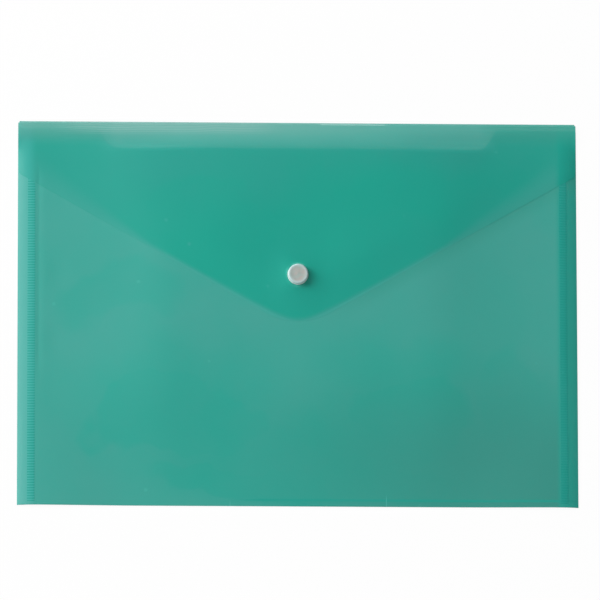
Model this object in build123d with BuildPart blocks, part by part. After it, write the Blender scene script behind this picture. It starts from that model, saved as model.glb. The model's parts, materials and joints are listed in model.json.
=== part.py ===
from build123d import *
from math import asin, atan2, cos, hypot, radians, sin, tan
import os

# A document wallet that lies on its back: X across, Y from the bottom fold to the top fold, Z up.
# One polypropylene film is folded at the bottom, welded at both sides and folded over into a
# pointed flap, which a press stud holds shut. Millimetres.

# Film
sheet = 0.2
wallet_width = 335.0
wallet_height = 235.0
pocket_depth = 5.1

# Welded side edges: a plain margin outside, a ribbed weld inside it
edge_margin = 5.9
weld_width = 4.5
rib_pitch = 1.6
rib_height = 0.08

# Front panel: the film bows up softly from the welds and from the bottom fold to a raised flat
fold_lip = 1.0
slope_angle = 8.0
bend_radius = 150.0
bend_land = 0.4

# Mouth: a wide scoop between two ears, all measured down from the top fold or in from the sides.
# The ears' inner edges lean apart, and the scoop turns into them with a wide round.
ear_drop = 4.0
mouth_drop = 16.8
ear_width = 47.5
ear_lean = 8.0
ear_radius = 3.0
mouth_radius = 7.5

# Flap, measured down from the top fold
flap_inset = 0.5
flap_side = 32.4
flap_depth = 123.3
apex_radius = 38.0
shoulder_run = 6.0
hinge_gap = 0.05

# Press stud
stud_drop = 94.9
flange_diameter = 15.0
flange_thickness = 0.6
flange_round = 0.2
stack_clearance = 0.2
post_diameter = 2.0
neck_diameter = 4.0
knob_diameter = 5.0
neck_height = 0.5
knob_height = 2.9
knob_crown = 0.9
snap_clearance = 0.28
socket_undercut = 0.17
collar_wall = 0.72
fit_clearance = 0.05
headroom = 0.3

# Button cap: a rim on the flap, a groove and a drum with a rounded top edge
cap_diameter = 12.4
cap_roof = 1.2
rim_height = 0.9
groove_height = 0.35
groove_depth = 0.45
drum_inset = 0.15
cap_round = 0.9

# Places along X and Y
half_width = wallet_width / 2
top_y = wallet_height / 2
fold_y = -wallet_height / 2 + sheet
hinge_y = top_y - sheet / 2
ear_y = top_y - ear_drop
mouth_y = top_y - mouth_drop
stud_y = top_y - stud_drop
ear_inner_x = half_width - ear_width
scoop_x = ear_inner_x - ear_lean
weld_x = half_width - edge_margin - weld_width

# Heights
lip_top = 2 * sheet
front_inner = sheet + pocket_depth
front_outer = front_inner + sheet
flap_inner = front_outer + 2 * flange_thickness + stack_clearance
flap_outer = flap_inner + sheet
knob_top = front_outer + flange_thickness + knob_height
cap_cavity = knob_top + headroom - flap_outer
cap_height = cap_cavity + cap_roof

# The rising film, worked out from its angle and its bends
slope = radians(slope_angle)
bend_lead = (bend_radius + sheet) * tan(slope / 2) + bend_land
slope_run = (front_outer - lip_top) / tan(slope) + 2 * bend_lead
slope_foot_y = fold_y + fold_lip
panel_bottom_y = slope_foot_y + slope_run
panel_half = weld_x - slope_run


def slope_section(plane, lip):
    """Section of the film as it rises: local x runs inward from the foot, local y is height."""
    shift = sheet * tan(slope / 2)
    crest = slope_run - bend_lead
    with BuildSketch(plane) as section:
        with BuildLine():
            upper = FilletPolyline(
                (-lip, lip_top),
                (bend_lead, lip_top),
                (crest, front_outer),
                (slope_run, front_outer),
                radius=[bend_radius, bend_radius + sheet],
            )
            lower = FilletPolyline(
                (-lip, sheet),
                (bend_lead + shift, sheet),
                (crest + shift, front_inner),
                (slope_run, front_inner),
                radius=[bend_radius + sheet, bend_radius],
            )
            Line(upper @ 0, lower @ 0)
            Line(upper @ 1, lower @ 1)
        make_face()
    return section.sketch


# Back panel: the flat film, with a round nose where the flap turns over its top edge
with BuildPart() as back_panel:
    with BuildSketch(Plane.YZ):
        with BuildLine():
            Polyline((hinge_y, sheet), (fold_y, sheet), (fold_y, 0), (hinge_y, 0))
            ThreePointArc((hinge_y, 0), (top_y, sheet / 2), (hinge_y, sheet))
        make_face()
    extrude(amount=half_width, both=True)

# Bottom crease: the half-round of film that joins the back to the front
with BuildPart() as bottom_crease:
    with BuildSketch(Plane.YZ):
        with BuildLine():
            Line((fold_y, lip_top), (fold_y, 0))
            ThreePointArc((fold_y, 0), (fold_y - sheet, sheet), (fold_y, lip_top))
        make_face()
    extrude(amount=half_width, both=True)

# Mouth: what is cut off the front film, all above the ears and, between them, above the scoop
scoop_round = min(mouth_radius, 0.6 * (ear_y - mouth_y))
with BuildSketch() as mouth:
    with BuildLine():
        Polyline(
            (-half_width, ear_y),
            (-ear_inner_x, ear_y),
            (-scoop_x, mouth_y),
            (scoop_x, mouth_y),
            (ear_inner_x, ear_y),
            (half_width, ear_y),
            (half_width, top_y),
            (-half_width, top_y),
            close=True,
        )
    make_face()
    fillet(mouth.vertices().group_by(Axis.Y)[0], scoop_round)
    ear_corners = mouth.vertices().filter_by_position(Axis.Y, ear_y - sheet, ear_y + sheet)
    fillet(ear_corners.sort_by(lambda v: abs(v.X))[:2], ear_radius)

# Front panel: the raised flat below the mouth, with the hole for the stud's rivet
post_hole = post_diameter / 2 + fit_clearance
with BuildPart() as front_panel:
    with BuildSketch(Plane.XY.offset(front_inner)):
        with Locations((-panel_half, panel_bottom_y)):
            Rectangle(2 * panel_half, hinge_y - panel_bottom_y, align=Align.MIN)
        with Locations((0, stud_y)):
            Circle(post_hole, mode=Mode.SUBTRACT)
    extrude(amount=sheet)
    extrude(mouth.sketch, amount=flap_inner, mode=Mode.SUBTRACT)

# Side slopes, mitred where they meet the bottom slope, each with an ear beside the mouth
with BuildPart() as front_right_slope:
    right_foot = Plane(origin=(weld_x, slope_foot_y, 0), x_dir=(-1, 0, 0), z_dir=(0, 1, 0))
    extrude(slope_section(right_foot, 0), amount=hinge_y - slope_foot_y)
    split(bisect_by=Plane(origin=(weld_x, slope_foot_y, 0), z_dir=(1, 1, 0)), keep=Keep.TOP)
    extrude(mouth.sketch, amount=flap_inner, mode=Mode.SUBTRACT)

with BuildPart() as front_left_slope:
    mirror(front_right_slope.part, about=Plane.YZ)

# Bottom slope, with the flat lip that lies on the back panel beside the bottom crease
with BuildPart() as front_bottom_slope:
    bottom_foot = Plane(origin=(0, slope_foot_y, 0), x_dir=(0, 1, 0), z_dir=(1, 0, 0))
    extrude(slope_section(bottom_foot, fold_lip), amount=weld_x, both=True)
    for side in (-1, 1):
        mitre = Plane(origin=(side * weld_x, slope_foot_y, 0), z_dir=(side, 1, 0))
        split(bisect_by=mitre, keep=Keep.BOTTOM)

# Side seams: the front film's edge, welded to the back panel by a band of cross ribs
seam_length = ear_y - fold_y
rib_count = int(seam_length / rib_pitch)
first_rib = fold_y + (seam_length - rib_count * rib_pitch) / 2
valley = lip_top - rib_height / 2
ridge = lip_top + rib_height / 2
weld_top = [(fold_y, valley)]
for rib in range(rib_count):
    weld_top.append((first_rib + rib * rib_pitch, valley))
    weld_top.append((first_rib + (rib + 0.5) * rib_pitch, ridge))
weld_top.append((first_rib + rib_count * rib_pitch, valley))
weld_top.append((ear_y, valley))
with BuildPart() as right_seam:
    with BuildSketch(Plane.YZ.offset(weld_x)):
        with BuildLine():
            Polyline((fold_y, sheet), *weld_top, (ear_y, sheet), close=True)
        make_face()
    extrude(amount=weld_width)
    with BuildSketch(Plane.XY.offset(sheet)):
        with Locations((half_width - edge_margin, fold_y)):
            Rectangle(edge_margin, seam_length, align=Align.MIN)
    extrude(amount=sheet)

with BuildPart() as left_seam:
    mirror(right_seam.part, about=Plane.YZ)

# Flap shoulder: the steep strip from the top crease up to the line where the flap turns level
flap_half = half_width - flap_inset
half_sheet = sheet / 2
shoulder_rise = flap_inner
shoulder_lean = atan2(shoulder_rise, shoulder_run)
shoulder_length = hypot(shoulder_rise, shoulder_run)
shoulder_start = (half_sheet * (1 + cos(shoulder_lean)) + hinge_gap) / sin(shoulder_lean)
with BuildPart() as flap_shoulder:
    along = (0, -cos(shoulder_lean), sin(shoulder_lean))
    with BuildSketch(Plane(origin=(0, hinge_y, half_sheet), x_dir=along, z_dir=(1, 0, 0))):
        with BuildLine():
            Polyline(
                (shoulder_length, half_sheet),
                (shoulder_start, half_sheet),
                (shoulder_start, -half_sheet),
                (shoulder_length, -half_sheet),
            )
            ThreePointArc(
                (shoulder_length, -half_sheet),
                (shoulder_length + half_sheet, 0),
                (shoulder_length, half_sheet),
            )
        make_face()
    extrude(amount=flap_half, both=True)

# Flap panel: straight sides, then two edges that run to a round point, tangent to its arc
bend_y = hinge_y - shoulder_run
flap_start_y = bend_y - half_sheet - hinge_gap
corner_y = top_y - flap_side
tip_y = top_y - flap_depth
apex_y = tip_y + apex_radius
corner_reach = hypot(flap_half, corner_y - apex_y)
edge_angle = atan2(corner_y - apex_y, flap_half) + asin(apex_radius / corner_reach)
touch_x = apex_radius * sin(edge_angle)
touch_y = apex_y - apex_radius * cos(edge_angle)
socket_bore = knob_diameter / 2 + snap_clearance
collar_radius = socket_bore + collar_wall
with BuildPart() as flap_panel:
    with BuildSketch(Plane.XY.offset(flap_inner)):
        with BuildLine():
            Polyline(
                (-touch_x, touch_y),
                (-flap_half, corner_y),
                (-flap_half, flap_start_y),
                (flap_half, flap_start_y),
                (flap_half, corner_y),
                (touch_x, touch_y),
            )
            ThreePointArc((touch_x, touch_y), (0, tip_y), (-touch_x, touch_y))
        make_face()
        with Locations((0, stud_y)):
            Circle(collar_radius + fit_clearance, mode=Mode.SUBTRACT)
    extrude(amount=sheet)

# Press stud: all four pieces turn about one upright axis
stud_axis = Axis((0, stud_y, 0), (0, 0, 1))
stud_plane = Plane(origin=(0, stud_y, 0), x_dir=(1, 0, 0), z_dir=(0, -1, 0))
flange_radius = flange_diameter / 2
neck_radius = neck_diameter / 2
post_radius = post_diameter / 2
post_top = knob_top - knob_crown

# Pocket stud: a flange on the front panel and a barrel-shaped knob, bored for the rivet
with BuildPart() as pocket_stud:
    with BuildSketch(stud_plane):
        with BuildLine():
            knob_foot = front_outer + flange_thickness + neck_height
            belly = (knob_foot + knob_top) / 2
            Polyline(
                (0, knob_top),
                (0, post_top + fit_clearance),
                (post_hole, post_top + fit_clearance),
                (post_hole, front_outer),
                (flange_radius, front_outer),
                (flange_radius, front_outer + flange_thickness),
                (neck_radius, front_outer + flange_thickness),
                (neck_radius, knob_foot),
            )
            ThreePointArc((neck_radius, knob_foot), (knob_diameter / 2, belly), (neck_radius, knob_top))
            Line((neck_radius, knob_top), (0, knob_top))
        make_face()
    revolve(axis=stud_axis)
    flange_rims = pocket_stud.edges().filter_by(GeomType.CIRCLE).group_by(SortBy.RADIUS)[-1]
    fillet(flange_rims.sort_by(Axis.Z)[-1], flange_round)

# Stud rivet: a flange inside the pocket and a post up through the front panel into the stud
with BuildPart() as stud_rivet:
    with BuildSketch(Plane.XY.offset(front_inner - flange_thickness)):
        with Locations((0, stud_y)):
            Circle(flange_radius)
    extrude(amount=flange_thickness)
    fillet(stud_rivet.edges().group_by(Axis.Z)[0], flange_round)
    with BuildSketch(Plane.XY.offset(front_inner)):
        with Locations((0, stud_y)):
            Circle(post_radius)
    extrude(amount=post_top - front_inner)

# Button socket: a flange under the flap and a collar up through it, undercut behind the lip
collar_top = flap_outer + cap_cavity - headroom
with BuildPart() as button_socket:
    with BuildSketch(stud_plane):
        with BuildLine():
            flange_foot = flap_inner - flange_thickness
            Polyline(
                (socket_bore, flange_foot),
                (flange_radius, flange_foot),
                (flange_radius, flap_inner),
                (collar_radius, flap_inner),
                (collar_radius, collar_top),
                (socket_bore + socket_undercut, collar_top),
                (socket_bore + socket_undercut, flap_outer),
                (socket_bore, flap_inner),
                close=True,
            )
        make_face()
    revolve(axis=stud_axis)

# Button cap: rim, groove and drum, hollow below to take the socket's collar
cap_radius = cap_diameter / 2
drum_radius = cap_radius - drum_inset
groove_radius = cap_radius - groove_depth
with BuildPart() as button_cap:
    with BuildSketch(stud_plane):
        with BuildLine():
            rim_top = flap_outer + rim_height
            groove_top = rim_top + groove_height
            cap_top = flap_outer + cap_height
            Polyline(
                (0, flap_outer + cap_cavity),
                (collar_radius + fit_clearance, flap_outer + cap_cavity),
                (collar_radius + fit_clearance, flap_outer),
                (cap_radius, flap_outer),
                (cap_radius, rim_top),
                (groove_radius, rim_top),
                (groove_radius, groove_top),
                (drum_radius, groove_top),
                (drum_radius, cap_top),
                (0, cap_top),
                close=True,
            )
        make_face()
    revolve(axis=stud_axis)
    fillet(button_cap.edges().group_by(Axis.Z)[-1], cap_round)

pieces = {
    "back_panel": back_panel,
    "bottom_crease": bottom_crease,
    "front_panel": front_panel,
    "front_left_slope": front_left_slope,
    "front_right_slope": front_right_slope,
    "front_bottom_slope": front_bottom_slope,
    "left_seam": left_seam,
    "right_seam": right_seam,
    "flap_shoulder": flap_shoulder,
    "flap_panel": flap_panel,
    "button_cap": button_cap,
    "button_socket": button_socket,
    "pocket_stud": pocket_stud,
    "stud_rivet": stud_rivet,
}
os.makedirs("parts", exist_ok=True)
for name, piece in pieces.items():
    piece.part.label = name
    export_step(piece.part, f"parts/{name}.step")
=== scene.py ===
# %% [markdown]
# # A document wallet in translucent film
# The wallet is one sheet of teal polypropylene film, folded up at the bottom, welded at both sides
# and folded over at the top into a pointed flap, with a white press stud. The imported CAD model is
# the fixed frame: it gives every place and every moving body. This lesson makes the film and the
# mouldings that are seen, and lets them ride on those bodies.

# %% Load the frame
import json
import math
import bpy
import bmesh
from mathutils import Matrix, Vector
from mathutils.bvhtree import BVHTree

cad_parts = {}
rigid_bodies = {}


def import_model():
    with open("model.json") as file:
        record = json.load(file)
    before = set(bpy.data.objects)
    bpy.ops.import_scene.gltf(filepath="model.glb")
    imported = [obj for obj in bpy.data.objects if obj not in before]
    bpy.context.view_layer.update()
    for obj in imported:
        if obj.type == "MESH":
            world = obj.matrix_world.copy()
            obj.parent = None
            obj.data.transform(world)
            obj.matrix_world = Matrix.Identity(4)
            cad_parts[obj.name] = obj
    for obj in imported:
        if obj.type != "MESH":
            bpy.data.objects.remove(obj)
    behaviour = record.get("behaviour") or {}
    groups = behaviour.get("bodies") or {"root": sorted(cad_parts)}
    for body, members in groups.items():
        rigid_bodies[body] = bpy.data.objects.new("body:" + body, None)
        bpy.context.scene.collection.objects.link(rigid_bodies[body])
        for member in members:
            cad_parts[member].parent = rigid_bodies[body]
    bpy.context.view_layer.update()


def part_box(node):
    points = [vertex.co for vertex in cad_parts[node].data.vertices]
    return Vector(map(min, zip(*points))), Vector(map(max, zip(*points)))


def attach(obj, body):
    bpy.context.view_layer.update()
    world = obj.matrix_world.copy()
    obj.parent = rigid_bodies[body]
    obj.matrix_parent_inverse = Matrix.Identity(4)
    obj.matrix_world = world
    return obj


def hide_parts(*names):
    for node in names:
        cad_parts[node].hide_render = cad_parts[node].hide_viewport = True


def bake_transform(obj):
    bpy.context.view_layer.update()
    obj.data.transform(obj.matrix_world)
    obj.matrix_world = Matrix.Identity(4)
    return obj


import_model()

MM = 0.001

# %% [markdown]
# Places are read from the CAD nodes, so the film can't drift away from the solids it stands for.
# The three heights are the middle of the film's thickness: at the back, on the raised front and on
# the flap.

# %% Places and heights
back_low, back_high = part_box("back_panel")
front_low, front_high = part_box("front_panel")
flap_low, flap_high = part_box("flap_panel")
seam_low, seam_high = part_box("right_seam")
cap_low, cap_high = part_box("button_cap")
flange_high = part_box("button_socket")[1]

FILM = 0.2 * MM
HALF = back_high[0]
FOLD_Y = back_low[1]
EAR_Y = seam_high[1]
MOUTH_Y = front_high[1]
WELD_X = seam_low[0]
WELD_WIDTH = 4.5 * MM
WELD_END = WELD_X + WELD_WIDTH
BOW = 80 * MM
BACK_Z = (back_low[2] + back_high[2]) / 2
FRONT_Z = (front_low[2] + front_high[2]) / 2
FLAP_Z = (flap_low[2] + flap_high[2]) / 2
STUD_Y = (cap_low[1] + cap_high[1]) / 2
print("film heights in mm:", [round(z / MM, 2) for z in (BACK_Z, FRONT_Z, FLAP_Z)])

# %% [markdown]
# Everything below is modelled as by hand, with operators in edit mode. An operator acts on what is
# selected, so these helpers choose points, edges or faces by their place.

# %% Helpers that choose
NEAR = 0.01 * MM


def set_mode(mode):
    """Go into EDIT or OBJECT mode."""
    bpy.ops.object.mode_set(mode=mode)


def clear_choice():
    """Leave edit mode and deselect every object."""
    if bpy.context.mode != "OBJECT":
        set_mode("OBJECT")
    bpy.ops.object.select_all(action="DESELECT")


def pick(piece):
    """Leave edit mode and make one object the chosen and active one."""
    clear_choice()
    piece.select_set(True)
    bpy.context.view_layer.objects.active = piece


def middle(part):
    """Middle of a point, an edge or a face of the mesh in edit mode."""
    if isinstance(part, bmesh.types.BMVert):
        return part.co
    return sum((v.co for v in part.verts), Vector()) / len(part.verts)


def choose(test, kind="VERT"):
    """In edit mode, select only the VERT, EDGE or FACE parts whose middle passes the test."""
    bpy.ops.mesh.select_mode(type=kind)
    bpy.ops.mesh.select_all(action="DESELECT")
    mesh = bpy.context.edit_object.data
    shape = bmesh.from_edit_mesh(mesh)
    parts = {"VERT": shape.verts, "EDGE": shape.edges, "FACE": shape.faces}[kind]
    for part in parts:
        if test(middle(part)):
            part.select_set(True)
    bmesh.update_edit_mesh(mesh)


def choose_all():
    """In edit mode, select everything."""
    bpy.ops.mesh.select_all(action="SELECT")


def edit_points():
    """The points of the mesh in edit mode."""
    return bmesh.from_edit_mesh(bpy.context.edit_object.data).verts


# %% [markdown]
# A film starts as a flat rectangle. Its outline is pulled out and rounded off, and it is sliced where it
# has to bend later.

# %% Helpers that cut a film
def plain_sheet(name, low, high, height):
    """A new rectangle of film in edit mode, at its size and place."""
    clear_choice()
    bpy.ops.mesh.primitive_plane_add(size=1)
    piece = bpy.context.object
    piece.name = piece.data.name = name
    set_mode("EDIT")
    choose_all()
    size = (high[0] - low[0], high[1] - low[1], 1)
    bpy.ops.transform.resize(value=size, center_override=(0, 0, 0))
    place = ((high[0] + low[0]) / 2, (high[1] + low[1]) / 2, height)
    bpy.ops.transform.translate(value=place)
    return piece


def slice_at(axis, places, test=None):
    """Cut the film across X or Y at these places, so that it can bend there."""
    normal = Vector((1, 0, 0) if axis == "X" else (0, 1, 0))
    for place in places:
        if test:
            choose(test, "FACE")
        else:
            choose_all()
        bpy.ops.mesh.bisect(plane_co=place * normal, plane_no=normal)


def round_corners(radius, segments, test):
    """Bevel the corners of a flat outline that pass the test."""
    choose(test)
    bpy.ops.mesh.bevel(affect="VERTICES", offset=radius, segments=segments)


def pull(offset):
    """Extrude the chosen edges by an offset."""
    bpy.ops.mesh.extrude_region_move(TRANSFORM_OT_translate={"value": offset})


# %% [markdown]
# ## Pocket
# Front, bottom fold and back are one continuous film. It starts as the outline of the front: a
# rectangle with two ears pulled up at the top, which leave the wide scoop of the mouth between
# them. The inner side of each ear leans outwards. Corners are rounded while the outline is still one
# face, because then only two edges meet there. Slicing comes after that.

# %% Outline of the front
EAR_LEAN = 8 * MM
EAR_INNER = 120 * MM
SCOOP_X = EAR_INNER - EAR_LEAN
SCOOP_ROUND = 4.2 * MM
EAR_ROUND = 1.7 * MM
CORNER_ROUND = 1.4 * MM
FOLD_RADIUS = 0.16 * MM
LIP_Z = BACK_Z + 2 * FOLD_RADIUS

pocket = plain_sheet("pocket_sheet", (-HALF, FOLD_Y), (HALF, MOUTH_Y), LIP_Z)
slice_at("X", (-SCOOP_X, SCOOP_X))
choose(lambda p: p.y > MOUTH_Y - NEAR and abs(p.x) > SCOOP_X + NEAR, "EDGE")
pull((0, EAR_Y - MOUTH_Y, 0))
for side in (-1, 1):
    choose(lambda p: p.y > EAR_Y - NEAR and abs(p.x - side * SCOOP_X) < NEAR)
    bpy.ops.transform.translate(value=(side * EAR_LEAN, 0, 0))
choose_all()
bpy.ops.mesh.dissolve_limited(angle_limit=0.01)
round_corners(SCOOP_ROUND, 6, lambda p: abs(p.y - MOUTH_Y) < NEAR and abs(abs(p.x) - SCOOP_X) < NEAR)
round_corners(EAR_ROUND, 4, lambda p: p.y > EAR_Y - NEAR and abs(abs(p.x) - EAR_INNER) < NEAR)
round_corners(CORNER_ROUND, 4, lambda p: p.y > EAR_Y - NEAR and abs(p.x) > HALF - NEAR)
print("outline points:", len(edit_points()))

# %% [markdown]
# The outline is sliced into small cells, closer together beside the welds where the film bends
# most. Then the middle is lifted with proportional editing: the film around the chosen points follows
# less and less, so it bows down to the welds and to the bottom fold as a real film does. The lip of
# the mouth dips a little.

# %% Raise the front
def spread(low, high, step):
    """Even places from low to high, about a step apart."""
    count = max(1, round((high - low) / step))
    return [low + (high - low) * i / count for i in range(count + 1)]


def lift(height, reach, falloff="SMOOTH"):
    """Move the chosen points up, and take the film around them along."""
    bpy.ops.transform.translate(value=(0, 0, height), use_proportional_edit=True,
                                proportional_edit_falloff=falloff, proportional_size=reach)


CELL = 5 * MM
BESIDE_WELD = 14 * MM
SIDE_CUTS = spread(WELD_X - BESIDE_WELD, WELD_X, 2 * MM) + spread(WELD_X, WELD_END, 1.5 * MM)[1:]
SIDE_CUTS += spread(WELD_END, HALF, 0.9 * MM)[1:-1]
CUTS_X = spread(-WELD_X + BESIDE_WELD, WELD_X - BESIDE_WELD, CELL)[1:-1]
CUTS_X += SIDE_CUTS + [-x for x in SIDE_CUTS]
GROOVE_X = -WELD_X + 2.2 * MM
GROOVE_HALF = 0.9 * MM
CUTS_X += [GROOVE_X - GROOVE_HALF, GROOVE_X, GROOVE_X + GROOVE_HALF]
LIP_DIP = 0.5 * MM
LIP_REACH = 25 * MM

slice_at("X", CUTS_X)
slice_at("Y", spread(FOLD_Y + 1 * MM, EAR_Y, CELL)[:-1])
choose(lambda p: abs(p.x) < WELD_X - BOW and p.y > FOLD_Y + BOW)
lift(FRONT_Z - LIP_Z, BOW)
choose(lambda p: abs(p.x) < SCOOP_X and p.y > MOUTH_Y - NEAR)
lift(-LIP_DIP, LIP_REACH)
print("points in the front:", len(edit_points()))

# %% [markdown]
# A film that has been handled is never quite flat. A few shallow dents, each only part of a
# millimetre deep, let the light wander over the front. They keep away from the stud, which needs a
# flat seat. The last four are small kinks. Each row is a place, a depth and a reach in millimetres.

# %% Dents in the front
def dent(x, y, depth, reach):
    """Press a shallow dent into the film at a place, by its nearest point."""
    nearest = min(edit_points(), key=lambda v: (v.co.x - x) ** 2 + (v.co.y - y) ** 2).co.copy()
    choose(lambda p: (p - nearest).length < NEAR)
    lift(-depth, reach)


FRONT_DENTS = (
    (-105, 30, 0.3, 45), (-95, -30, -0.2, 50), (-60, -62, 0.3, 55), (10, -60, -0.2, 60),
    (62, -34, 0.3, 55), (110, 20, 0.3, 45), (95, -68, -0.3, 45), (-20, -28, 0.2, 35),
    (122, -82, -0.3, 34), (-96, 32, 0.3, 8), (-141, 23, 0.3, 9), (-146, -18, 0.3, 10), (116, -58, -0.15, 7),
)
for row in FRONT_DENTS:
    dent(*(value * MM for value in row))
print("dents in the front:", len(FRONT_DENTS))

# %% [markdown]
# The bottom fold is spun from the lower edge, half a turn under itself, and its far edge is pulled
# up as the back. Extruding it from the same sheet keeps the fold and both panels one film.

# %% Fold and back
BACK_TOP = back_high[1] - 1.3 * MM

choose(lambda p: p.y < FOLD_Y + NEAR, "EDGE")
bpy.ops.mesh.spin(steps=6, angle=-math.pi, center=(0, FOLD_Y, BACK_Z + FOLD_RADIUS), axis=(1, 0, 0))
choose(lambda p: abs(p.y - FOLD_Y) < NEAR and p.z < BACK_Z + NEAR, "EDGE")
pull((0, BACK_TOP - FOLD_Y, 0))
slice_at("Y", spread(FOLD_Y, BACK_TOP, CELL)[1:-1], lambda p: abs(p.z - BACK_Z) < NEAR)
print("the back ends at", round(BACK_TOP / MM, 1), "mm")

# %% [markdown]
# Now both layers are shaped together at the sides. The long edges arch up a little between the
# corners, as they do on a wallet with papers in it. The welded strip stands proud and its outer edge
# curls down again, and a shallow groove runs beside the left weld. At the top the back and the ears
# are brought down flat, because the flap folds close over them.

# %% Shape the sides
def flatten(share, level, reach, connected=False, falloff="SMOOTH"):
    """Bring the chosen points towards a level, to a share of their height, and the film around them."""
    bpy.ops.transform.resize(value=(1, 1, share), center_override=(0, 0, level), use_proportional_edit=True,
                             use_proportional_connected=connected, proportional_edit_falloff=falloff,
                             proportional_size=reach)


SIDE_ARCH = 0.5 * MM
ARCH_HALF = 45 * MM
STRIP_RISE = ((-1, 1.6 * MM), (1, 1.5 * MM))
STRIP_REACH = 60 * MM
STRIP_TOP = EAR_Y - 12 * MM
CURL_REACH = 11 * MM
GROOVE_DEPTH = 0.15 * MM
GROOVE_REACH = 2.5 * MM
GROOVE_LOW = -0.3 * EAR_Y
GROOVE_HIGH = 0.75 * EAR_Y
EAR_SHARE = 0.4
EAR_REACH = 20 * MM
TOP_REACH = 22 * MM

choose(lambda p: abs(p.x) > WELD_X - NEAR and abs(p.y) < ARCH_HALF)
lift(SIDE_ARCH, BOW)
for side, height in STRIP_RISE:
    choose(lambda p: side * p.x > WELD_X - NEAR and p.y < STRIP_TOP)
    lift(height, STRIP_REACH)
    choose(lambda p: side * p.x > HALF - NEAR and p.y < STRIP_TOP)
    lift(-height, CURL_REACH, "SHARP")
choose(lambda p: abs(p.x - GROOVE_X) < NEAR and GROOVE_LOW < p.y < GROOVE_HIGH and p.z > LIP_Z)
lift(-GROOVE_DEPTH, GROOVE_REACH)
choose(lambda p: p.y > BACK_TOP - NEAR)
flatten(0, BACK_Z, TOP_REACH, connected=True)
choose(lambda p: abs(p.y - EAR_Y) < NEAR and p.z > LIP_Z - NEAR)
flatten(EAR_SHARE, LIP_Z, EAR_REACH, connected=True)
print("highest point in mm:", round(max(v.co.z for v in edit_points()) / MM, 2))

# %% [markdown]
# So far the film has no thickness. A Solidify modifier makes it a closed film with two faces, and a
# vertex group can keep an edge thin, which the flap uses later.

# %% Thickness of the pocket
THIN_SHARE = 0.15
SMOOTH_ANGLE = math.radians(35)


def apply_modifier(piece, kind, **values):
    """Give a piece a modifier with these values, and apply it."""
    modifier = piece.modifiers.new(kind, kind)
    for key, value in values.items():
        setattr(modifier, key, value)
    bpy.ops.object.modifier_apply(modifier=modifier.name)


def give_thickness(piece, thickness, thin_edge=""):
    """Turn a bent sheet into a closed film of real thickness, and smooth it."""
    pick(piece)
    set_mode("EDIT")
    choose_all()
    bpy.ops.mesh.remove_doubles(threshold=0.002 * MM)
    set_mode("OBJECT")
    apply_modifier(piece, "SOLIDIFY", thickness=thickness, offset=0, vertex_group=thin_edge,
                   invert_vertex_group=True, thickness_vertex_group=THIN_SHARE)
    piece.vertex_groups.clear()
    bpy.ops.object.shade_smooth_by_angle(angle=SMOOTH_ANGLE)
    print(piece.name, "has", len(piece.data.polygons), "faces")


choose_all()
bpy.ops.mesh.normals_make_consistent(inside=False)
give_thickness(pocket, FILM)
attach(pocket, "pocket")
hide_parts("back_panel", "bottom_crease", "front_panel",
            "front_left_slope", "front_right_slope", "front_bottom_slope")

# %% [markdown]
# Thin film lies on what is under it. This helper does what a shrinkwrap does, but with a gap and a
# share for each point: it looks straight down from the point, and brings it that share of the way to
# the surface that it finds, less the gap. Over the open mouth it would find the back, but a stiff film
# doesn't drop in there, so it takes the height of the nearer ear instead.

# %% Helper that settles a film on another
HIGH_ABOVE = 50 * MM
DOWN = Vector((0, 0, -1))


def ease(share):
    """A share from 0 to 1 with a soft start and end."""
    share = min(max(share, 0.0), 1.0)
    return share * share * (3 - 2 * share)


def settle(ground, gap, share):
    """Let the film in edit mode sink to a gap above another piece, all the way where the share is 1."""
    surface = BVHTree.FromObject(ground, bpy.context.evaluated_depsgraph_get())
    mesh = bpy.context.edit_object.data
    shape = bmesh.from_edit_mesh(mesh)
    for point in shape.verts:
        above = Vector((point.co.x, point.co.y, HIGH_ABOVE))
        found = surface.ray_cast(above, DOWN)[0]
        if found and found.z < LIP_Z:
            above.x = math.copysign(EAR_INNER + EAR_ROUND, above.x)
            found = surface.ray_cast(above, DOWN)[0]
        if found:
            point.co.z += share(point.co) * (found.z + gap(point.co) - point.co.z)
    bmesh.update_edit_mesh(mesh)


# %% [markdown]
# ## Ribbed welds
# The sides are closed by a heated bar with fine teeth across it, which leaves a ladder of small
# ribs. One flat step of the ladder is modelled and an Array modifier copies it up the side. The
# ladder is settled on the film, so it follows the arch, and only then are its ribs raised.

# %% One step, copied up each side
RIB_PITCH = 1.6 * MM
RIB_HEIGHT = 0.05 * MM
RIB_START = FOLD_Y + 2 * MM
RIB_COUNT = int((EAR_Y - FOLD_Y - 3 * MM) / RIB_PITCH)
RIB_CUTS = (0.2, 0.36, 0.64, 0.8)
RIB_HALF = 0.2 * RIB_PITCH
RIB_END = 0.3 * MM
RIB_EASE = 0.2 * MM
WELD_FILM = 0.1 * MM
WELD_GAP = 0.3 * WELD_FILM


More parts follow.
